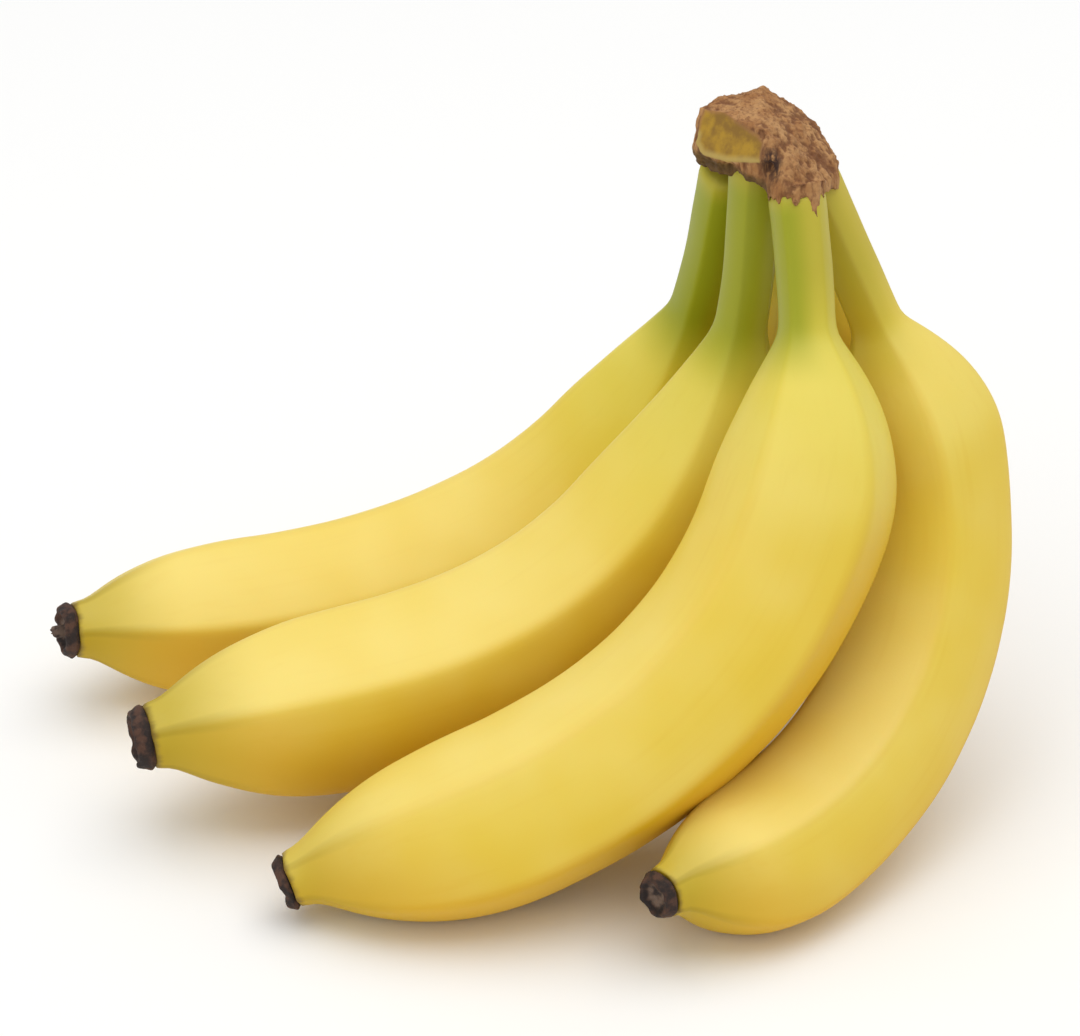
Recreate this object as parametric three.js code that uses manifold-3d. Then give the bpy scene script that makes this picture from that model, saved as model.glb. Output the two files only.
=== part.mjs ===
// A hand of five bananas on one cut crown, standing on the bellies of four of them.
// Millimetres, +Z up, +X to the right and +Y to the back; the origin is under the middle of the hand.
import * as THREE from 'three';
import { ConvexGeometry } from 'three/addons/geometries/ConvexGeometry.js';
import { mergeVertices } from 'three/addons/utils/BufferGeometryUtils.js';
import Module from 'manifold-3d';

// Driving dimensions, in millimetres and degrees.
// root is the top of a neck, under the crown; heights are above the surface that the hand stands on.
// lean tips the neck from straight down towards leanHeading, and curl bends the banana towards
// curlHeading between curlFrom and curlTo, measured along it. Headings turn from +X towards +Y.
// The peel is neckRadius thick down to neckEnd, full at shoulderEnd, and tapers over its last stretch.
// The neck meets the body neckShift off its axis, and tipLift turns the tip up, both on the inner side.
const bananas = [
  {
    place: 'left',
    root: [39.5, 17.5, 137.9],
    lean: 21,
    leanHeading: 104,
    curl: 97,
    curlHeading: 198,
    curlFrom: 14,
    curlTo: 209,
    length: 229,
    bodyRadius: 18.2,
    neckRadius: 5.6,
    tipRadius: 6.6,
    neckEnd: 46,
    shoulderEnd: 93,
    taperLength: 46,
    neckShift: 3.2,
    tipLift: 1.3,
    ridgeTurn: -46,
  },
  {
    place: 'middle',
    root: [45, 7.5, 144],
    lean: 1,
    leanHeading: 166,
    curl: 86,
    curlHeading: 197,
    curlFrom: 8,
    curlTo: 182,
    length: 212.5,
    bodyRadius: 20,
    neckRadius: 5.6,
    tipRadius: 7.4,
    neckEnd: 40,
    shoulderEnd: 95,
    taperLength: 51,
    neckShift: 2.2,
    tipLift: 1.6,
    ridgeTurn: -52,
  },
  {
    place: 'front',
    root: [52.5, -3, 142.5],
    lean: 24,
    leanHeading: 288,
    curl: 76,
    curlHeading: 181,
    curlFrom: 0,
    curlTo: 178,
    length: 203,
    bodyRadius: 19.9,
    neckRadius: 6,
    tipRadius: 6.3,
    neckEnd: 30,
    shoulderEnd: 69,
    taperLength: 54,
    neckShift: 3.4,
    tipLift: 4,
    ridgeTurn: -53,
  },
  {
    place: 'right',
    root: [55.5, 7.5, 142],
    lean: 24.5,
    leanHeading: 353,
    curl: 107,
    curlHeading: 222.4,
    curlFrom: 25,
    curlTo: 198,
    length: 200.5,
    bodyRadius: 16.1,
    neckRadius: 5.6,
    tipRadius: 5.3,
    neckEnd: 39,
    shoulderEnd: 69,
    taperLength: 36,
    neckShift: 1.8,
    tipLift: 4.3,
    ridgeTurn: -58,
  },
  {
    place: 'under',
    root: [52.2, 18.5, 139.5],
    lean: 14,
    leanHeading: 46,
    curl: 95,
    curlHeading: 200,
    curlFrom: 35,
    curlTo: 174,
    length: 168,
    bodyRadius: 17.2,
    neckRadius: 6,
    tipRadius: 7.5,
    neckEnd: 26,
    shoulderEnd: 74,
    taperLength: 39,
    neckShift: 1.5,
    tipLift: 1,
    ridgeTurn: -50,
  },
];
const handShift = [5.9, 10.2, 0]; // brings the middle of the hand over the origin
const shoulderEase = 0.6; // below 1 the shoulder sets off at once from the neck
const taperPower = 2.7; // how late the peel narrows towards its end
const tipNeck = 4; // even stretch behind the dried end
const faceCount = 5; // flat faces round a peel
const ridgeSharpness = 16; // higher is more angular
const ridgeHeight = 0.6; // share of a full pentagon's ridges, so that the faces stay rounded
const ridgeAtNeck = 0.7; // share of the ridges' height that is left at the neck and the tip
const sidesPerFace = 4;
const ringCount = 32;
const stepsPerRing = 6; // small steps that follow the curl between two rings
const blossomLength = 4.5; // dried end of a banana, past its peel
const blossomSides = 15;
const blossomLobes = 0.07; // how far the five lobes of a dried end stand out
const jointGap = 0.3; // between a peel and its dried end
const crownClearance = 1.04; // size of the hollow that the necks are trimmed to, over the crown
const floorBlock = 400; // side of the block that flattens the bellies

// Corners of the crown, a cut lump that the necks grow out of.
const crownCorners = [
  // top, an old rough cut that falls off to the right
  [33, 12, 153.5],
  [37, 16, 154],
  [46.5, 19, 155],
  [53.5, 18, 151.5],
  [57.5, 14, 149.5],
  [45.5, -2, 155],
  // fresh cut at the front left, and the corner beside it
  [45, -5, 150],
  [33, 6, 146],
  [31.5, 10, 145.5],
  // skirt at the front and the right
  [51.5, -10, 144],
  [57.5, -6.5, 142.5],
  [62, 6, 144],
  [62.3, 4, 138.5],
  // underside and back, over the necks
  [33, 14, 139],
  [34, 26, 138],
  [38, 27, 147],
  [48, 30, 137.5],
  [50, 27, 147],
  [61, 23, 137.5],
  [42, 0, 142.5],
];

const wasm = await Module();
wasm.setup();

function smoothStep(from, to, value) {
  return THREE.MathUtils.smoothstep(value, from, to);
}

// A closed geometry as a solid that can be cut.
function toSolid(geometry) {
  const bare = geometry.clone();
  bare.deleteAttribute('normal');
  bare.deleteAttribute('uv');
  const merged = mergeVertices(bare, 1e-4);
  return new wasm.Manifold(
    new wasm.Mesh({
      numProp: 3,
      vertProperties: merged.getAttribute('position').array,
      triVerts: new Uint32Array(merged.index.array),
    }),
  );
}

function toGeometry(solid) {
  const { vertProperties, triVerts } = solid.getMesh();
  const geometry = new THREE.BufferGeometry();
  geometry.setAttribute('position', new THREE.BufferAttribute(vertProperties, 3));
  geometry.setIndex(new THREE.BufferAttribute(triVerts, 1));
  geometry.computeVertexNormals();
  return geometry;
}

function heading(degrees) {
  const angle = THREE.MathUtils.degToRad(degrees);
  return new THREE.Vector3(Math.cos(angle), Math.sin(angle), 0);
}

// Radius of a rounded pentagon whose flat faces are 1 from its middle, with a ridge at angle 0.
function pentagon(angle) {
  let sum = 0;
  for (let face = 0; face < faceCount; face++) {
    const faceAngle = ((face + 0.5) * 2 * Math.PI) / faceCount;
    sum += Math.max(0, Math.cos(angle - faceAngle)) ** ridgeSharpness;
  }
  return sum ** (-1 / ridgeSharpness);
}
const pentagonMiddle = (pentagon(0) + pentagon(Math.PI / faceCount)) / 2;

// How far along the last stretch a place is, from 0 to 1.
function taperShare(banana, along) {
  const start = banana.length - banana.taperLength;
  return THREE.MathUtils.clamp((along - start) / (banana.taperLength - tipNeck), 0, 1);
}

// How far a place is from the neck to the full body, from 0 to 1.
function shoulderShare(banana, along) {
  const share = (along - banana.neckEnd) / (banana.shoulderEnd - banana.neckEnd);
  return smoothStep(0, 1, THREE.MathUtils.clamp(share, 0, 1) ** shoulderEase);
}

function peelRadius(banana, along) {
  const full = THREE.MathUtils.lerp(
    banana.neckRadius,
    banana.bodyRadius,
    shoulderShare(banana, along),
  );
  const narrowing = 1 - banana.tipRadius / banana.bodyRadius;
  return full * (1 - narrowing * taperShare(banana, along) ** taperPower);
}

// Share of the ridges' height: low at the neck and the tip, full on the body.
function ridgeShare(banana, along) {
  const body = shoulderShare(banana, along) * (1 - taperShare(banana, along));
  return ridgeHeight * (ridgeAtNeck + (1 - ridgeAtNeck) * body);
}

// Walks down a banana's axis and returns one frame for each ring: its middle, the way on and the inner side.
function walkSpine(banana) {
  const lean = THREE.MathUtils.degToRad(banana.lean);
  const start = heading(banana.leanHeading).multiplyScalar(Math.sin(lean));
  start.z = -Math.cos(lean);
  const curlSide = heading(banana.curlHeading);
  curlSide.addScaledVector(start, -curlSide.dot(start)).normalize();

  function wayOn(along) {
    const turn = THREE.MathUtils.degToRad(banana.curl) * smoothStep(banana.curlFrom, banana.curlTo, along);
    const tangent = start.clone().multiplyScalar(Math.cos(turn)).addScaledVector(curlSide, Math.sin(turn));
    const inner = curlSide.clone().multiplyScalar(Math.cos(turn)).addScaledVector(start, -Math.sin(turn));
    return { tangent, inner };
  }

  const step = banana.length / (ringCount * stepsPerRing);
  const middle = new THREE.Vector3(...banana.root);
  const frames = [];
  for (let count = 0; count <= ringCount * stepsPerRing; count++) {
    const along = count * step;
    const { tangent, inner } = wayOn(along);
    if (count % stepsPerRing === 0) {
      const tip = banana.tipLift * taperShare(banana, along) ** 2;
      const offset = tip - banana.neckShift * shoulderShare(banana, along);
      const point = middle.clone().addScaledVector(inner, offset);
      const side = new THREE.Vector3().crossVectors(tangent, inner);
      frames.push({ along, point, tangent, inner, side });
    }
    middle.addScaledVector(wayOn(along + step / 2).tangent, step);
  }
  return frames;
}

// A peel: a cylinder whose rings are set along the axis and shaped to the rounded pentagon.
function peelGeometry(banana, frames) {
  const geometry = new THREE.CylinderGeometry(1, 1, 1, faceCount * sidesPerFace, ringCount);
  const position = geometry.getAttribute('position');
  const turn = THREE.MathUtils.degToRad(banana.ridgeTurn);
  const local = new THREE.Vector3();
  for (let index = 0; index < position.count; index++) {
    local.fromBufferAttribute(position, index);
    const frame = frames[Math.round((0.5 - local.y) * ringCount)];
    const angle = Math.atan2(local.z, local.x);
    const ridge = pentagon(angle) / pentagonMiddle - 1;
    const reach = peelRadius(banana, frame.along) * (1 + ridge * ridgeShare(banana, frame.along));
    const radius = reach * Math.hypot(local.x, local.z);
    const place = frame.point
      .clone()
      .addScaledVector(frame.inner, radius * Math.cos(angle + turn))
      .addScaledVector(frame.side, radius * Math.sin(angle + turn));
    position.setXYZ(index, place.x, place.y, place.z);
  }
  return geometry;
}

// A dried blossom end: a short five-lobed stub with a rolled rim and a pit.
function blossomGeometry(banana) {
  const outline = [
    [0, 0],
    [0.86, 0],
    [0.98, 0.3],
    [0.94, 0.7],
    [0.78, 1],
    [0.56, 0.96],
    [0.36, 0.66],
    [0, 0.58],
  ];
  const points = outline.map(
    ([share, rise]) => new THREE.Vector2(share * banana.tipRadius, rise * blossomLength),
  );
  const geometry = new THREE.LatheGeometry(points, blossomSides);
  const position = geometry.getAttribute('position');
  for (let index = 0; index < position.count; index++) {
    const angle = Math.atan2(position.getZ(index), position.getX(index));
    const lobe = 1 + blossomLobes * Math.cos(faceCount * angle);
    position.setX(index, position.getX(index) * lobe);
    position.setZ(index, position.getZ(index) * lobe);
  }
  return geometry;
}

function crownSolid() {
  return toSolid(new ConvexGeometry(crownCorners.map((corner) => new THREE.Vector3(...corner))));
}

// The room that the crown needs: the crown itself, a little larger all round.
function crownRoom() {
  const points = crownCorners.map((corner) => new THREE.Vector3(...corner));
  const middle = new THREE.Box3().setFromPoints(points).getCenter(new THREE.Vector3());
  const grown = points.map((point) => point.sub(middle).multiplyScalar(crownClearance).add(middle));
  return toSolid(new ConvexGeometry(grown));
}

function belowFloor() {
  const block = new THREE.BoxGeometry(floorBlock, floorBlock, floorBlock);
  return toSolid(block.translate(0, 0, -floorBlock / 2));
}

const peelMaterial = new THREE.MeshStandardMaterial({ color: 0xe6c64a, roughness: 0.45, metalness: 0 });
const blossomMaterial = new THREE.MeshStandardMaterial({ color: 0x3a2b22, roughness: 0.9, metalness: 0 });
const crownMaterial = new THREE.MeshStandardMaterial({ color: 0x9c6a3f, roughness: 0.85, metalness: 0 });

const hand = new THREE.Group();
hand.position.set(...handShift);

const crown = new THREE.Mesh(toGeometry(crownSolid()), crownMaterial);
crown.name = 'crown';
hand.add(crown);

const room = crownRoom();
const floor = belowFloor();
for (const banana of bananas) {
  const frames = walkSpine(banana);
  const whole = toSolid(peelGeometry(banana, frames));
  const peel = new THREE.Mesh(toGeometry(whole.subtract(room).subtract(floor)), peelMaterial);
  peel.name = `banana_${banana.place}`;
  hand.add(peel);

  const end = frames[ringCount];
  const blossom = new THREE.Mesh(blossomGeometry(banana), blossomMaterial);
  blossom.name = `blossom_end_${banana.place}`;
  blossom.position.copy(end.point).addScaledVector(end.tangent, jointGap);
  blossom.quaternion.setFromUnitVectors(new THREE.Vector3(0, 1, 0), end.tangent);
  hand.add(blossom);
}

const bunch = new THREE.Group();
bunch.add(hand);

export default bunch;
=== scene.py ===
import math

import bpy
import numpy as np
from mathutils import Matrix, Vector, noise


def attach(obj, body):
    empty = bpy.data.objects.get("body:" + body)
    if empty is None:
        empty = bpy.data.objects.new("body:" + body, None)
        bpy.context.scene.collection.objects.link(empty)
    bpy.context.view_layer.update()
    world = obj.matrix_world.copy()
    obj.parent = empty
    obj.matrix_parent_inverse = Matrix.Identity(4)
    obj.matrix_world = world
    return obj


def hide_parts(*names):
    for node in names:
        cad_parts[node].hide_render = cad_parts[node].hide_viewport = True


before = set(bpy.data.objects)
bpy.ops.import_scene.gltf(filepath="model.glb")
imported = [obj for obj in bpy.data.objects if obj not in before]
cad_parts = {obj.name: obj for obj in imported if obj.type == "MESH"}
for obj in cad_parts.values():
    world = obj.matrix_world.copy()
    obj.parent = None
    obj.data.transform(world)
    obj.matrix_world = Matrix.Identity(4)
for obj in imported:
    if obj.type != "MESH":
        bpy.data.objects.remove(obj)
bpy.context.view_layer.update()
mm = 0.001
handShift = Vector((5.9, 10.2, 0)) * mm  # from the hand's own drawing to the middle of its box
print("frame loaded:", len(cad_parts), "nodes")


# small helpers for working by hand
def clearSelection():
    bpy.ops.object.select_all(action="DESELECT")


def editMode():
    bpy.ops.object.mode_set(mode="EDIT")


def objectMode():
    bpy.ops.object.mode_set(mode="OBJECT")


def applyModifier(piece, kind, **settings):
    modifier = piece.modifiers.new(kind.title(), kind)
    for key, value in settings.items():
        setattr(modifier, key, value)
    bpy.context.view_layer.objects.active = piece
    bpy.ops.object.modifier_apply(modifier=modifier.name)


def selectVertices(piece, wanted):
    editMode()
    bpy.ops.mesh.select_mode(type="VERT")
    bpy.ops.mesh.select_all(action="DESELECT")
    objectMode()
    for vertex in piece.data.vertices:
        vertex.select = bool(wanted(vertex))
    editMode()


def clouds(name, size, depth=2):
    texture = bpy.data.textures.new(name, "CLOUDS")
    texture.noise_scale = size
    texture.noise_depth = depth
    return texture


def writeAttribute(piece, name, kind, values):
    attribute = piece.data.attributes.new(name, kind, "POINT")
    field = "vector" if kind == "FLOAT_VECTOR" else "value"
    attribute.data.foreach_set(field, np.asarray(values, np.float32).ravel())


def positions(piece):
    co = np.empty(len(piece.data.vertices) * 3, np.float32)
    piece.data.vertices.foreach_get("co", co)
    return co.reshape(-1, 3).astype(float)


def normalsOf(piece):
    normals = np.empty(len(piece.data.vertices) * 3, np.float32)
    piece.data.vertices.foreach_get("normal", normals)
    return normals.reshape(-1, 3).astype(float)


def smoothStep(low, high, value):
    share = np.clip((value - low) / (high - low), 0.0, 1.0)
    return share * share * (3 - 2 * share)


def finishPiece(piece, node, material):
    piece.data.materials.clear()
    piece.data.materials.append(material)
    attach(piece, "root")
    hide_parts(node)


# shader maths: a wire is a socket that can be reckoned with
class Wire:
    def __init__(self, tree, socket=None):
        self.tree = tree
        self.socket = socket

    def add(self, nodeType, settings, inputs, output=0):
        node = self.tree.nodes.new(nodeType)
        for key, value in settings.items():
            setattr(node, key, value)
        for key, value in inputs.items():
            if isinstance(value, Wire):
                self.tree.links.new(value.socket, node.inputs[key])
            else:
                node.inputs[key].default_value = value
        return Wire(self.tree, node.outputs[output])

    def math(self, operation, first, second):
        return self.add("ShaderNodeMath", {"operation": operation}, {0: first, 1: second})

    def __add__(self, other):
        return self.math("ADD", self, other)

    def __radd__(self, other):
        return self.math("ADD", other, self)

    def __sub__(self, other):
        return self.math("SUBTRACT", self, other)

    def __rsub__(self, other):
        return self.math("SUBTRACT", other, self)

    def __mul__(self, other):
        return self.math("MULTIPLY", self, other)

    def __rmul__(self, other):
        return self.math("MULTIPLY", other, self)


def tone(red, green, blue):
    def linear(value):
        share = value / 255
        return share / 12.92 if share <= 0.04045 else ((share + 0.055) / 1.055) ** 2.4
    return (linear(red), linear(green), linear(blue), 1.0)


def ease(value, low, high):
    return value.add(
        "ShaderNodeMapRange",
        {"interpolation_type": "SMOOTHSTEP"},
        {"Value": value, "From Min": low, "From Max": high},
    )


def blend(share, first, second):
    return share.add("ShaderNodeMix", {"data_type": "RGBA"}, {0: share, 6: first, 7: second}, 2)


def stretch(place, x, y, z):
    return place.add("ShaderNodeVectorMath", {"operation": "MULTIPLY"}, {0: place, 1: (x, y, z)})


def grain(place, scale, detail=3.0, roughness=0.5):
    return place.add(
        "ShaderNodeTexNoise",
        {},
        {"Vector": place, "Scale": scale, "Detail": detail, "Roughness": roughness},
    )


def attribute(graph, name, output):
    return graph.add("ShaderNodeAttribute", {"attribute_name": name}, {}, output)


def newMaterial(name):
    material = bpy.data.materials.new(name)
    material.use_nodes = True
    tree = material.node_tree
    return material, Wire(tree), tree.nodes["Principled BSDF"]


def plug(wire, shader, socketName):
    wire.tree.links.new(wire.socket, shader.inputs[socketName])


def bump(height, shader, strength, distance):
    normal = height.add(
        "ShaderNodeBump", {}, {"Height": height, "Strength": strength, "Distance": distance}
    )
    plug(normal, shader, "Normal")


# camera
cameraSet = {
    "lens": 122.67,
    "sensor": 36.0,
    "elevation": 31.0,
    "distance": 800 * mm,
    "aim": handShift + Vector((0, 0, 61.37)) * mm,
}


def setCamera(spec):
    up = math.radians(spec["elevation"])
    back = Vector((0, -math.cos(up), math.sin(up)))
    bpy.ops.object.camera_add(
        location=spec["aim"] + back * spec["distance"],
        rotation=(math.pi / 2 - up, 0, 0),
    )
    camera = bpy.context.object
    camera.data.lens = spec["lens"]
    camera.data.sensor_width = spec["sensor"]
    bpy.context.scene.camera = camera


# bananas, millimetres and degrees, as the solids have them
bananas = {
    "left": {
        "root": (39.5, 17.5, 137.9), "lean": 21, "leanHeading": 104,
        "curl": 97, "curlHeading": 198, "curlFrom": 14, "curlTo": 209,
        "length": 229, "bodyRadius": 18.2, "neckRadius": 5.6, "tipRadius": 6.6,
        "neckEnd": 46, "shoulderEnd": 93, "taperLength": 46,
        "neckShift": 3.2, "tipLift": 1.3, "ridgeTurn": -46,
    },
    "middle": {
        "root": (45, 7.5, 144), "lean": 1, "leanHeading": 166,
        "curl": 86, "curlHeading": 197, "curlFrom": 8, "curlTo": 182,
        "length": 212.5, "bodyRadius": 20, "neckRadius": 5.6, "tipRadius": 7.4,
        "neckEnd": 40, "shoulderEnd": 95, "taperLength": 51,
        "neckShift": 2.2, "tipLift": 1.6, "ridgeTurn": -52,
    },
    "front": {
        "root": (52.5, -3, 142.5), "lean": 24, "leanHeading": 288,
        "curl": 76, "curlHeading": 181, "curlFrom": 0, "curlTo": 178,
        "length": 203, "bodyRadius": 19.9, "neckRadius": 6, "tipRadius": 6.3,
        "neckEnd": 30, "shoulderEnd": 69, "taperLength": 54,
        "neckShift": 3.4, "tipLift": 4, "ridgeTurn": -53,
    },
    "right": {
        "root": (55.5, 7.5, 142), "lean": 24.5, "leanHeading": 353,
        "curl": 107, "curlHeading": 222.4, "curlFrom": 25, "curlTo": 198,
        "length": 200.5, "bodyRadius": 16.1, "neckRadius": 5.6, "tipRadius": 5.3,
        "neckEnd": 39, "shoulderEnd": 69, "taperLength": 36,
        "neckShift": 1.8, "tipLift": 4.3, "ridgeTurn": -58,
        "press": 1.1,  # fuller, so that it presses on the front one
    },
    "under": {
        "root": (52.2, 18.5, 139.5), "lean": 14, "leanHeading": 46,
        "curl": 95, "curlHeading": 200, "curlFrom": 35, "curlTo": 174,
        "length": 168, "bodyRadius": 17.2, "neckRadius": 6, "tipRadius": 7.5,
        "neckEnd": 26, "shoulderEnd": 74, "taperLength": 39,
        "neckShift": 1.5, "tipLift": 1, "ridgeTurn": -50,
    },
}
peelShape = {
    "sides": 80,
    "rings": 66,
    "stepsPerRing": 6,
    "faces": 5,
    "ridgeSharpness": 28,
    "ridgeHeight": 0.6,
    "ridgeAtNeck": 0.7,
    "shoulderEase": 0.6,
    "taperPower": 2.7,
    "tipNeck": 4,
    "lipInset": 0.8,
    "lipDepth": 1.2 * mm,
    "unevenness": 0.5 * mm,
    "unevenSize": 22 * mm,
}


def pentagon(angle):
    total = 0
    for face in range(peelShape["faces"]):
        middle = (face + 0.5) * 2 * math.pi / peelShape["faces"]
        total = total + np.maximum(0, np.cos(angle - middle)) ** peelShape["ridgeSharpness"]
    return total ** (-1 / peelShape["ridgeSharpness"])


pentagonMiddle = (pentagon(0) + pentagon(math.pi / peelShape["faces"])) / 2
faceDrop = pentagon(math.pi / peelShape["faces"]) / pentagonMiddle - 1


def turnAt(spec, along):
    return math.radians(spec["curl"]) * smoothStep(spec["curlFrom"], spec["curlTo"], along)


def taperAt(spec, along):
    start = spec["length"] - spec["taperLength"]
    return np.clip((along - start) / (spec["taperLength"] - peelShape["tipNeck"]), 0, 1)


def shoulderAt(spec, along):
    share = np.clip((along - spec["neckEnd"]) / (spec["shoulderEnd"] - spec["neckEnd"]), 0, 1)
    return smoothStep(0, 1, share ** peelShape["shoulderEase"])


def radiusAt(spec, along):
    body = spec["bodyRadius"] + spec.get("press", 0)
    full = spec["neckRadius"] + (body - spec["neckRadius"]) * shoulderAt(spec, along)
    narrowing = 1 - spec["tipRadius"] / spec["bodyRadius"]
    return full * (1 - narrowing * taperAt(spec, along) ** peelShape["taperPower"])


def ridgeAt(spec, along):
    low = peelShape["ridgeAtNeck"]
    body = shoulderAt(spec, along) * (1 - taperAt(spec, along))
    return peelShape["ridgeHeight"] * (low + (1 - low) * body)


# the axis in the plane that it bends in: it sets off along +Z and bends to +X
def spineOf(spec, count):
    fine = peelShape["stepsPerRing"]
    step = spec["length"] / (count * fine)
    spine = []
    place = np.zeros(2)
    for index in range(count * fine + 1):
        along = index * step
        if index % fine == 0:
            turn = turnAt(spec, along)
            inner = np.array((math.cos(turn), -math.sin(turn)))
            lift = spec["tipLift"] * taperAt(spec, along) ** 2
            offset = lift - spec["neckShift"] * shoulderAt(spec, along)
            spine.append((along, turn, *(place + inner * offset)))
        onward = turnAt(spec, along + step / 2)
        place = place + step * np.array((math.sin(onward), math.cos(onward)))
    return np.array(spine)  # along, turn, x, z


def placeOf(spec):
    lean, leanHeading = math.radians(spec["lean"]), math.radians(spec["leanHeading"])
    curlHeading = math.radians(spec["curlHeading"])
    start = Vector((
        math.sin(lean) * math.cos(leanHeading),
        math.sin(lean) * math.sin(leanHeading),
        -math.cos(lean),
    ))
    inner = Vector((math.cos(curlHeading), math.sin(curlHeading), 0))
    inner = (inner - start * inner.dot(start)).normalized()
    turn = Matrix((inner, start.cross(inner), start)).transposed().to_4x4()
    return Matrix.Translation(Vector(spec["root"]) * mm + handShift) @ turn


def ringRadius(spec, along):
    return radiusAt(spec, along) * (1 + faceDrop * ridgeAt(spec, along)) * mm


def growPeel(name, spec):
    sides, rings = peelShape["sides"], peelShape["rings"]
    spine = spineOf(spec, rings)
    clearSelection()
    bpy.ops.mesh.primitive_circle_add(
        vertices=sides, radius=ringRadius(spec, 0), rotation=(0, 0, math.radians(spec["ridgeTurn"]))
    )
    peel = bpy.context.object
    peel.name = name
    bpy.ops.object.transform_apply(location=True, rotation=True, scale=True)
    editMode()
    bpy.ops.mesh.select_all(action="SELECT")
    for before, after in zip(spine, spine[1:]):
        centre = Vector((after[2], 0, after[3])) * mm
        step = centre - Vector((before[2], 0, before[3])) * mm
        growth = ringRadius(spec, after[0]) / ringRadius(spec, before[0])
        bpy.ops.mesh.extrude_region_move(TRANSFORM_OT_translate={"value": step})
        bpy.ops.transform.rotate(
            value=before[1] - after[1], orient_axis="Y", center_override=centre
        )
        bpy.ops.transform.resize(value=(growth,) * 3, center_override=centre)
    onward = Vector((math.sin(spine[-1][1]), 0, math.cos(spine[-1][1])))
    inset = (peelShape["lipInset"],) * 3
    bpy.ops.mesh.extrude_region_move(
        TRANSFORM_OT_translate={"value": onward * -peelShape["lipDepth"]}
    )
    bpy.ops.transform.resize(value=inset, center_override=centre)
    bpy.ops.mesh.edge_face_add()
    selectVertices(peel, lambda vertex: vertex.index < sides)
    bpy.ops.mesh.edge_face_add()
    bpy.ops.mesh.select_all(action="SELECT")
    bpy.ops.mesh.normals_make_consistent(inside=False)
    objectMode()
    raiseRidges(peel, spec, spine)
    applyModifier(peel, "SUBSURF", levels=1, render_levels=1)
    applyModifier(
        peel, "DISPLACE", texture=clouds(name + "Uneven", peelShape["unevenSize"], 1),
        texture_coords="LOCAL", strength=peelShape["unevenness"], mid_level=0.5,
    )
    peel.matrix_world = placeOf(spec)
    bpy.ops.object.transform_apply(location=True, rotation=True, scale=True)
    selectVertices(peel, lambda vertex: vertex.co.z < 0)  # the belly lies flat
    bpy.ops.transform.resize(value=(1, 1, 0), center_override=(0, 0, 0))
    objectMode()
    bpy.ops.object.shade_smooth()
    measurePeel(peel, spec)
    return peel


# five ridges: weights for a push along the normals
def raiseRidges(peel, spec, spine):
    sides = peelShape["sides"]
    count = sides * len(spine)
    index = np.arange(count)
    along = spine[index // sides, 0]
    angle = math.pi / 2 + (index % sides) * 2 * math.pi / sides
    ridge = pentagon(angle) / pentagonMiddle - 1 - faceDrop
    push = ridge * ridgeAt(spec, along) * radiusAt(spec, along) * mm
    group = peel.vertex_groups.new(name="ridges")
    highest = float(push.max())
    for vertex, amount in enumerate(push):
        group.add([vertex], float(amount) / highest, "REPLACE")
    applyModifier(peel, "DISPLACE", vertex_group="ridges", strength=highest, mid_level=0)
    peel.vertex_groups.clear()


# where each point of the peel is on a straightened banana
def measurePeel(peel, spec):
    spine = spineOf(spec, 4 * peelShape["rings"])
    local = np.array(placeOf(spec).inverted())
    co = positions(peel) @ local[:3, :3].T + local[:3, 3]
    apartX = co[:, None, 0] - spine[None, :, 2] * mm
    apartZ = co[:, None, 2] - spine[None, :, 3] * mm
    nearest = spine[(apartX ** 2 + apartZ ** 2).argmin(1)]
    turn = nearest[:, 1]
    dx, dz = co[:, 0] - nearest[:, 2] * mm, co[:, 2] - nearest[:, 3] * mm
    along = nearest[:, 0] + (dx * np.sin(turn) + dz * np.cos(turn)) / mm
    inner, side = dx * np.cos(turn) - dz * np.sin(turn), co[:, 1]
    angle = np.arctan2(side, inner) - math.radians(spec["ridgeTurn"])
    writeAttribute(peel, "straight", "FLOAT_VECTOR", np.stack((along * mm, inner, side), 1))
    writeAttribute(peel, "neckShare", "FLOAT", along / spec["neckEnd"])
    writeAttribute(peel, "tipShare", "FLOAT", (spec["length"] - along) / spec["taperLength"])
    # facing: how far each normal turns up; it sets the painted highlight and the painted shade of the
    # peel
    writeAttribute(peel, "facing", "FLOAT", normalsOf(peel)[:, 2])
    writeAttribute(peel, "inner", "FLOAT", inner / np.hypot(inner, side).clip(1e-6))
    writeAttribute(peel, "ridge", "FLOAT", 0.5 + 0.5 * np.cos(peelShape["faces"] * angle))


peelFinish = {
    "ripe": tone(236, 204, 64),
    "pale": tone(242, 216, 104),
    # painted highlight for faces that turn up
    "top": tone(245, 224, 138),
    "deep": tone(224, 180, 38),
    # painted shade for faces that turn down
    "shade": tone(222, 172, 8),
    "olive": tone(151, 158, 18),
    "neckTop": tone(188, 172, 56),
    "tipGreen": tone(178, 156, 10),
    "tipLine": tone(146, 122, 4),
    "fresh": tone(214, 206, 58),
    "edge": tone(96, 66, 36),
    "green": {  # how green the neck, the tip and the outer side of the neck still are
        "left": (1.0, 0.7, 0.8), "middle": (0.9, 0.75, 0.8), "front": (0.85, 0.5, 0.2),
        "right": (0.2, 0.7, 0.2), "under": (0.6, 0.5, 0.5),
    },
}


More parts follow.
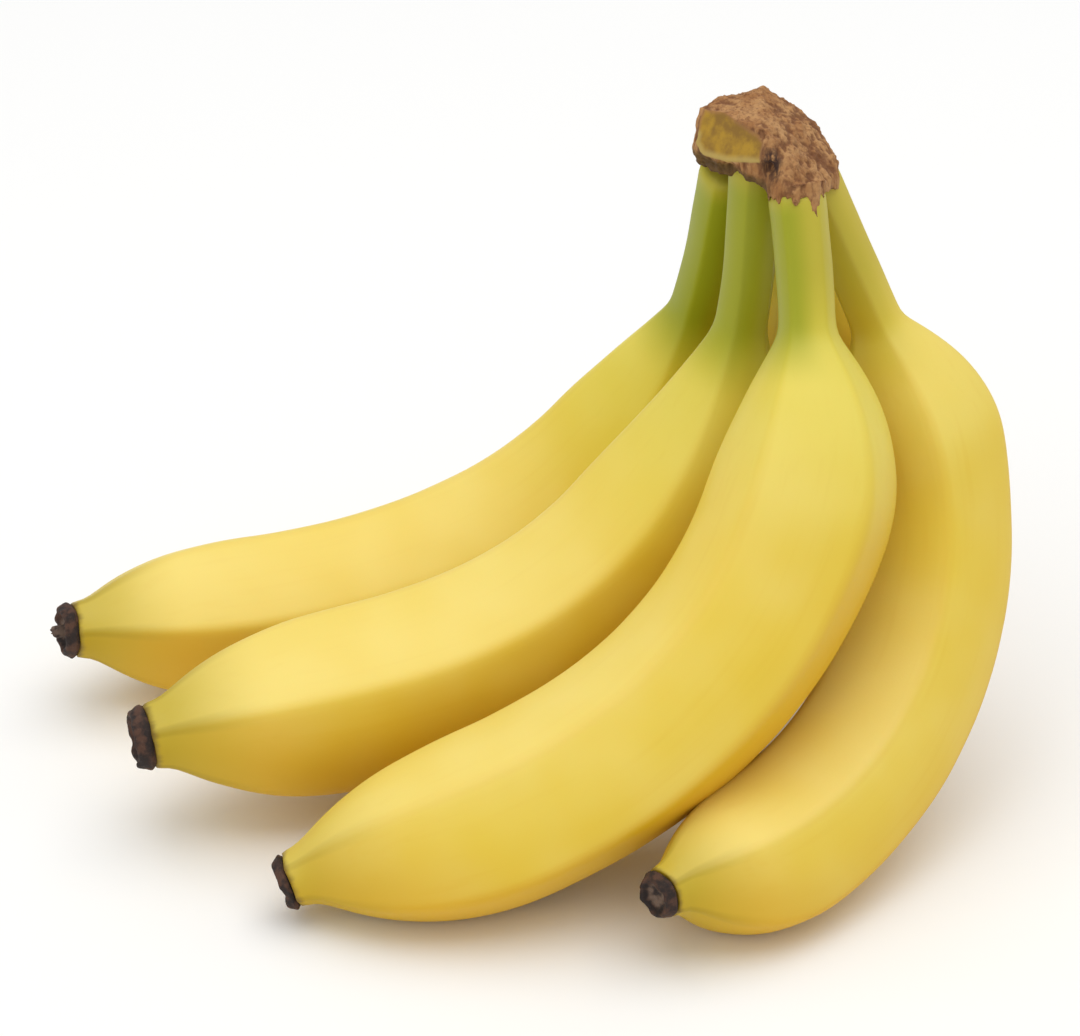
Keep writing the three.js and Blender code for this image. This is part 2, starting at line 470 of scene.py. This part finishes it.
def peelMaterial(name, neckGreen, tipGreen, outerGreen):
    material, graph, shader = newMaterial(name)
    straight = attribute(graph, "straight", 1)
    neckShare = attribute(graph, "neckShare", 2)
    tipShare = attribute(graph, "tipShare", 2)
    inner = attribute(graph, "inner", 2)
    ridge = attribute(graph, "ridge", 2)
    blotch = grain(straight, 26, 2)
    streak = grain(stretch(straight, 0.05, 1, 1), 520, 3)
    fine = grain(straight, 1500, 2)
    colour = blend(ease(blotch, 0.3, 0.7), peelFinish["ripe"], peelFinish["pale"])
    colour = blend(ease(streak, 0.5, 0.8) * 0.14, colour, peelFinish["deep"])
    colour = blend(ease(ridge, 0.93, 1.0) * 0.22, colour, peelFinish["deep"])
    # painted highlight: faces that turn up are lightened towards a pale colour
    facing = attribute(graph, "facing", 2)
    colour = blend(ease(facing, 0.25, 0.95) * 0.4, colour, peelFinish["top"])
    # painted shade: faces that turn down, and more of them near the tips, are darkened towards the
    # shade colour
    turned = facing - 0.3 * (1 - ease(tipShare, 0.2, 1.0))
    colour = blend((1 - ease(turned, -0.35, 0.5)) * 0.85, colour, peelFinish["shade"])
    wobble = neckShare + (blotch - 0.5) * 0.3
    green = ease(neckShare, -0.05, 0.2) * (1 - ease(wobble, 0.9, 1.4))
    green = green * (outerGreen + (1 - outerGreen) * ease(inner, -0.45, 0.5))
    colour = blend((1 - ease(wobble, 1.0, 2.7)) * 0.6 * neckGreen, colour, peelFinish["fresh"])
    colour = blend((1 - ease(neckShare, 0.5, 1.2)) * 0.75, colour, peelFinish["neckTop"])
    colour = blend(green * neckGreen, colour, peelFinish["olive"])
    tip = (1 - ease(tipShare + (blotch - 0.5) * 0.2, 0.0, 0.56)) * tipGreen
    colour = blend(tip, colour, peelFinish["tipGreen"])
    line = ease(ridge, 0.8, 1.0) * (1 - ease(tipShare, 0.0, 0.55)) * tipGreen * 0.5
    colour = blend(line, colour, peelFinish["tipLine"])
    edge = (1 - ease(tipShare + (streak - 0.5) * 0.05, 0.0, 0.04)) * 0.7
    colour = blend(edge, colour, peelFinish["edge"])
    plug(colour, shader, "Base Color")
    plug(0.42 + 0.12 * blotch, shader, "Roughness")
    bump(streak * 0.5 + fine * 0.5, shader, 0.06, 0.4 * mm)
    shader.inputs["Subsurface Weight"].default_value = 0.12
    shader.inputs["Subsurface Radius"].default_value = (1.0, 0.6, 0.15)
    shader.inputs["Subsurface Scale"].default_value = 3 * mm
    shader.inputs["Specular IOR Level"].default_value = 0.32
    shader.inputs["Coat Weight"].default_value = 0.04
    shader.inputs["Coat Roughness"].default_value = 0.4
    return material


# dried blossom ends
blossomShape = {
    "sides": 30,
    "rings": [  # share of the tip's radius, millimetres past the peel
        (0.84, -1.6), (0.9, -0.3), (0.98, 0.4), (0.97, 1.2), (0.88, 2.6), (0.85, 3.7), (0.77, 4.4),
        (0.66, 4.1), (0.58, 2.4), (0.42, 1.9), (0.22, 2.2),
    ],
    "nub": [(0.2, 4.0), (0.22, 6.6), (0.13, 7.6)],
    "height": {"left": 0.62, "middle": 0.74, "front": 0.46, "right": 0.55, "under": 0.6},
    "lobes": 0.04,
    "ragged": 0.08,
    "raggedRim": 1.2,
    "wrinkle": 0.35 * mm,
    "wrinkleSize": 1.4 * mm,
}


def growBlossom(name, spec, seed, height, hasNub):
    sides, radius = blossomShape["sides"], spec["tipRadius"] * mm
    rings = blossomShape["rings"] + (blossomShape["nub"] if hasNub else [])
    clearSelection()
    rings = [(share, rise * height) for share, rise in rings]
    share, rise = rings[0]
    bpy.ops.mesh.primitive_circle_add(vertices=sides, radius=share * radius, location=(0, 0, rise * mm))
    blossom = bpy.context.object
    blossom.name = name
    bpy.ops.object.transform_apply(location=True, rotation=True, scale=True)
    editMode()
    bpy.ops.mesh.select_all(action="SELECT")
    for before, after in zip(rings, rings[1:]):
        growth = after[0] / before[0]
        bpy.ops.mesh.extrude_region_move(
            TRANSFORM_OT_translate={"value": (0, 0, (after[1] - before[1]) * mm)}
        )
        bpy.ops.transform.resize(value=(growth, growth, 1), center_override=(0, 0, 0))
    bpy.ops.mesh.edge_face_add()
    selectVertices(blossom, lambda vertex: vertex.index < sides)
    bpy.ops.mesh.edge_face_add()
    bpy.ops.mesh.select_all(action="SELECT")
    bpy.ops.mesh.normals_make_consistent(inside=False)
    objectMode()
    shrivel(blossom, seed)
    applyModifier(blossom, "SUBSURF", levels=2, render_levels=2)
    applyModifier(
        blossom, "DISPLACE", texture=clouds(name + "Wrinkle", blossomShape["wrinkleSize"], 3),
        texture_coords="LOCAL", strength=blossomShape["wrinkle"], mid_level=0.5,
    )
    rim = np.linalg.norm(positions(blossom)[:, :2], axis=1) / radius
    blossom.matrix_world = tipPlace(spec)
    bpy.ops.object.transform_apply(location=True, rotation=True, scale=True)
    bpy.ops.object.shade_smooth()
    writeAttribute(blossom, "rim", "FLOAT", rim)
    return blossom


# five worn lobes, and a rim that has broken off unevenly
def shrivel(blossom, seed):
    for vertex in blossom.data.vertices:
        angle = math.atan2(vertex.co.y, vertex.co.x)
        share = smoothStep(0.0, 4.0, vertex.co.z / mm)
        spot = Vector((2.2 * math.cos(angle), 2.2 * math.sin(angle), seed))
        wide = 1 + blossomShape["lobes"] * math.cos(5 * angle + seed)
        wide += blossomShape["ragged"] * noise.noise(spot * 1.3) * share
        vertex.co.x *= wide
        vertex.co.y *= wide
        vertex.co.z += blossomShape["raggedRim"] * mm * noise.noise(spot + Vector((7, 3, 1))) * share


def tipPlace(spec):
    along, turn, x, z = spineOf(spec, peelShape["rings"])[-1]
    return placeOf(spec) @ Matrix.Translation(Vector((x, 0, z)) * mm) @ Matrix.Rotation(turn, 4, "Y")


blossomFinish = {
    "dark": tone(38, 26, 22),
    "brown": tone(84, 56, 42),
    "worn": tone(112, 92, 78),
}


def blossomMaterial():
    material, graph, shader = newMaterial("driedBlossom")
    place = graph.add("ShaderNodeTexCoord", {}, {}, 3)
    rim = attribute(graph, "rim", 2)
    patch = grain(place, 420, 3)
    speck = grain(place, 1800, 4, 0.65)
    colour = blend(ease(patch, 0.4, 0.65), blossomFinish["dark"], blossomFinish["brown"])
    colour = blend((1 - ease(rim, 0.4, 0.62)) * ease(patch, 0.35, 0.6), colour, blossomFinish["worn"])
    colour = blend(ease(speck, 0.56, 0.75) * 0.35, colour, blossomFinish["worn"])
    plug(colour, shader, "Base Color")
    plug(0.75 + 0.2 * patch, shader, "Roughness")
    bump(speck * 0.7 + patch * 0.3, shader, 0.5, 0.5 * mm)
    return material


# the crown, roughed out from its solid and worn like dry stalk, with painted shade under the cut, in
# its crevice and in its sunken parts
crownShape = {
    "voxel": 0.36 * mm,
    "cutMiddle": (39, 2.8, 151.3),
    "cutNormal": (-0.685, -0.593, 0.424),
    "cutSink": 0.5,
    "cutOutline": [  # right and up in the plane of the cut, millimetres
        (-9.5, 2.9), (-4.2, 3.8), (6.7, 2.7), (8.8, 1.5), (9.5, -2.6),
        (1.1, -5.3), (-6, -6.2), (-8.7, -4.5), (-9.7, 0.2),
    ],
    # where the crevice of the crown is painted dark as shade
    "hollow": {"place": (47.2, -5.5, 148.6), "reach": 4.2, "squeeze": (1.3, 1, 0.8)},
    "dents": [  # place, reach, move
        ((47.3, -6.5, 147), 3.6, (0.2, 3.0, 0.8)),
        ((49.5, -7.5, 149.5), 3.0, (-0.2, 1.4, -0.8)),
        ((40, 3, 143.5), 4.5, (1.0, 1.8, 1.2)),
        ((56, 2, 151), 4.5, (-0.8, 0.4, -1.4)),
        ((49, 9, 156), 4.0, (0, 0, -0.9)),
    ],
    "lumpSize": 4.5, "lump": 0.45,
    "fibreSize": 1.3, "fibre": 0.5, "fibreStretch": 0.24,
    "pitSize": 0.8, "pit": 0.14,
}
skirtShape = {  # torn edge over the front and right necks: turn from the camera side, length, width
    "front": [
        (-84, 3.4, 4.4), (-62, 3.0, 4.4), (-42, 3.6, 4.2), (-24, 3.2, 3.4), (-6, 4.4, 4.0),
        (10, 3.4, 3.4), (26, 4.6, 3.6), (44, 3.8, 3.6), (62, 4.2, 4.0),
    ],
    "right": [(-20, 4.0, 4.0), (8, 5.0, 4.6), (36, 4.4, 4.4), (64, 4.0, 4.4)],
    "tongue": (34, 10.5, 4.4),
    "thick": 2.0,
}


def addTear(spec, turn, length, width, thick):
    place = placeOf(spec)
    onward = (place.to_3x3() @ Vector((0, 0, 1))).normalized()
    up = math.radians(cameraSet["elevation"])
    facing = Vector((0, -math.cos(up), math.sin(up)))
    facing = (facing - onward * facing.dot(onward)).normalized()
    out = Matrix.Rotation(math.radians(-turn), 3, onward) @ facing
    across = out.cross(onward)
    root = Vector(spec["root"]) * mm + handShift
    spot = root + (onward * (length / 2 - 1.0) + out * (spec["neckRadius"] - 0.1)) * mm
    bpy.ops.mesh.primitive_cone_add(
        vertices=10, radius1=width / 2 * mm, radius2=width / 9 * mm, depth=length * mm, location=spot,
        rotation=Matrix((across, out, onward)).transposed().to_euler(), scale=(1, thick / width, 1),
    )


def buildCrown():
    clearSelection()
    crown = bpy.data.objects.new("crown_stalk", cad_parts["crown"].data.copy())
    bpy.context.scene.collection.objects.link(crown)
    bpy.context.view_layer.objects.active = crown
    crown.select_set(True)
    editMode()
    bpy.ops.mesh.select_all(action="SELECT")
    bpy.ops.mesh.remove_doubles(threshold=0.01 * mm)
    for place in ("front", "right"):
        for turn, length, width in skirtShape[place]:
            addTear(bananas[place], turn, length, width, skirtShape["thick"])
    addTear(bananas["front"], *skirtShape["tongue"], skirtShape["thick"])
    objectMode()
    applyModifier(crown, "REMESH", mode="VOXEL", voxel_size=crownShape["voxel"])
    applyModifier(crown, "SMOOTH", factor=0.5, iterations=1)
    wearAndShadeCrown(crown)
    bpy.ops.object.shade_smooth()
    return crown


def insideOutline(outline, right, up):
    apart = np.full(len(right), 1e9)
    inside = np.zeros(len(right), bool)
    for (ax, ay), (bx, by) in zip(outline, outline[1:] + outline[:1]):
        ex, ey = bx - ax, by - ay
        share = np.clip(((right - ax) * ex + (up - ay) * ey) / (ex * ex + ey * ey), 0, 1)
        apart = np.minimum(apart, np.hypot(right - ax - share * ex, up - ay - share * ey))
        crossing = (ay > up) != (by > up)
        edge = ax + (up - ay) * ex / (ey if ey else 1e-9)
        inside ^= crossing & (right < edge)
    return np.where(inside, apart, -apart)  # millimetres in from the edge


def wearAndShadeCrown(crown):
    shape = crownShape
    co = (positions(crown) - np.array(handShift)) / mm
    normals = normalsOf(crown)
    for place, reach, move in shape["dents"]:
        near = 1 - smoothStep(0, 1, np.linalg.norm(co - place, axis=1) / reach)
        co += near[:, None] * np.array(move)
    outward = np.array(shape["cutNormal"])
    right = np.cross((0, 0, 1), outward)
    right /= np.linalg.norm(right)
    offset = co - shape["cutMiddle"]
    depth = offset @ outward
    upward = offset @ np.cross(outward, right)
    inward = insideOutline(shape["cutOutline"], offset @ right, upward)
    cut = smoothStep(-0.5, 0.5, inward) * (1 - smoothStep(2.5, 4, abs(depth)))
    # painted shade: the band below the cut on the left is marked to be darkened
    below = smoothStep(5.2, 7.0, -upward) * (1 - smoothStep(45, 48, co[:, 0]))
    lowEdge = smoothStep(1.0, 2.6, -upward) * (1 - smoothStep(0.5, 1.9, inward))
    # painted shade: a dark patch laid into the crevice of the crown
    spec = shape["hollow"]
    apart = np.linalg.norm((co - spec["place"]) * spec["squeeze"], axis=1)
    hollow = 1 - smoothStep(0.3, 1, apart / spec["reach"])
    lump, fibre, pit = [], [], []
    squeeze = Vector((1, 1, shape["fibreStretch"]))
    for x, y, z in co:
        spot = Vector((x, y, z))
        lump.append(noise.noise(spot / shape["lumpSize"]))
        fibre.append(noise.turbulence(spot * squeeze / shape["fibreSize"], 3, False))
        pit.append(noise.noise(spot / shape["pitSize"]))
    raised = shape["lump"] * np.array(lump) + shape["fibre"] * (np.array(fibre) - 0.4)
    raised += shape["pit"] * np.array(pit)
    co += ((1 - cut) * raised)[:, None] * normals
    co -= (cut * (depth + shape["cutSink"]))[:, None] * outward
    co = co * mm + np.array(handShift)
    crown.data.vertices.foreach_set("co", co.astype(np.float32).ravel())
    crown.data.update()
    writeAttribute(crown, "freshCut", "FLOAT", cut)
    writeAttribute(crown, "raised", "FLOAT", raised)
    writeAttribute(crown, "below", "FLOAT", below)
    side = 0.7 * (1 - smoothStep(0.1, 1.1, inward + 0.5 * np.array(lump))) * (1 - lowEdge)
    writeAttribute(crown, "cutSide", "FLOAT", side)
    writeAttribute(crown, "cutLow", "FLOAT", lowEdge)
    writeAttribute(crown, "hollow", "FLOAT", hollow)


crownFinish = {
    "brown": tone(160, 109, 61),
    "tan": tone(190, 143, 92),
    "rustAndShade": tone(106, 61, 31),
    "creviceShade": tone(58, 36, 30),
    "undersideShade": tone(70, 52, 14),
    "cut": tone(136, 99, 20),
    "cutBright": tone(174, 134, 22),
    "cutPale": tone(184, 158, 84),
}


def crownMaterial():
    material, graph, shader = newMaterial("driedStalk")
    place = graph.add("ShaderNodeTexCoord", {}, {}, 3)
    cut = attribute(graph, "freshCut", 2)
    raised = attribute(graph, "raised", 2)
    patch = grain(place, 190, 4, 0.6)
    fibre = grain(stretch(place, 1, 1, 0.2), 1100, 4, 0.6)
    speck = grain(place, 1500, 4, 0.7)
    colour = blend(ease(patch, 0.35, 0.65), crownFinish["brown"], crownFinish["tan"])
    colour = blend(ease(fibre, 0.44, 0.7) * 0.7, colour, crownFinish["rustAndShade"])
    colour = blend(ease(speck, 0.55, 0.75) * 0.5, colour, crownFinish["tan"])
    # painted shade: the sunken parts of the rough surface are darkened towards the rust brown, which
    # elsewhere is the stalk's own mottling
    colour = blend((1 - ease(raised, -0.45, -0.15)) * 0.7, colour, crownFinish["rustAndShade"])
    # painted shade under the cut
    colour = blend(attribute(graph, "below", 2) * 0.8, colour, crownFinish["undersideShade"])
    # painted shade in the crevice
    hollow = attribute(graph, "hollow", 2) * ease(fibre, 0.35, 0.55)
    colour = blend(hollow, colour, crownFinish["creviceShade"])
    fresh = blend(ease(patch, 0.4, 0.65), crownFinish["cut"], crownFinish["cutBright"])
    fresh = blend(attribute(graph, "cutSide", 2), fresh, crownFinish["brown"])
    fresh = blend(attribute(graph, "cutLow", 2) * 0.8, fresh, crownFinish["cutPale"])
    colour = blend(ease(cut, 0.3, 0.8), colour, fresh)
    plug(colour, shader, "Base Color")
    plug(0.85 - 0.3 * cut, shader, "Roughness")
    bump((fibre * 0.6 + speck * 0.4) * (1 - cut * 0.8), shader, 0.8, 0.7 * mm)
    return material


# floor and light
stageSet = {
    "floorSize": 6.0,
    "floor": tone(250, 250, 249),
    "worldStrength": 0.56,
    "key": {"power": 19.5, "size": 2.0, "place": (0.2, 0.02, 1.75)},
    "fill": {"power": 5.0, "size": 1.6, "place": (-1.1, -0.9, 1.2)},
}


def setStage(spec):
    clearSelection()
    bpy.ops.mesh.primitive_plane_add(size=spec["floorSize"])
    floor = bpy.context.object
    floor.name = "floor"
    material, graph, shader = newMaterial("paleFloor")
    shader.inputs["Base Color"].default_value = spec["floor"]
    shader.inputs["Roughness"].default_value = 0.9
    shader.inputs["Specular IOR Level"].default_value = 0.1
    floor.data.materials.append(material)
    world = bpy.data.worlds.new("studio")
    bpy.context.scene.world = world
    world.use_nodes = True
    world.node_tree.nodes["Background"].inputs["Color"].default_value = (1, 1, 1, 1)
    world.node_tree.nodes["Background"].inputs["Strength"].default_value = spec["worldStrength"]
    for name in ("key", "fill"):
        bpy.ops.object.light_add(type="AREA", location=spec[name]["place"])
        light = bpy.context.object
        light.name = name
        light.data.energy = spec[name]["power"]
        light.data.size = spec[name]["size"]
        light.rotation_euler = Vector(spec[name]["place"]).to_track_quat("Z", "Y").to_euler()
    bpy.context.scene.view_settings.view_transform = "Standard"


setCamera(cameraSet)
setStage(stageSet)
print("stage set")
for place, spec in bananas.items():
    peel = growPeel("peel_" + place, spec)
    material = peelMaterial("peel_" + place, *peelFinish["green"][place])
    finishPiece(peel, "banana_" + place, material)
    print("peel grown:", place, len(peel.data.polygons), "faces")
dried = blossomMaterial()
for seed, (place, spec) in enumerate(bananas.items()):
    blossom = growBlossom(
        "blossom_" + place, spec, seed * 3.7, blossomShape["height"][place], place == "left"
    )
    finishPiece(blossom, "blossom_end_" + place, dried)
print("blossom ends dried")
crown = buildCrown()
finishPiece(crown, "crown", crownMaterial())
print("crown worn:", len(crown.data.polygons), "faces")
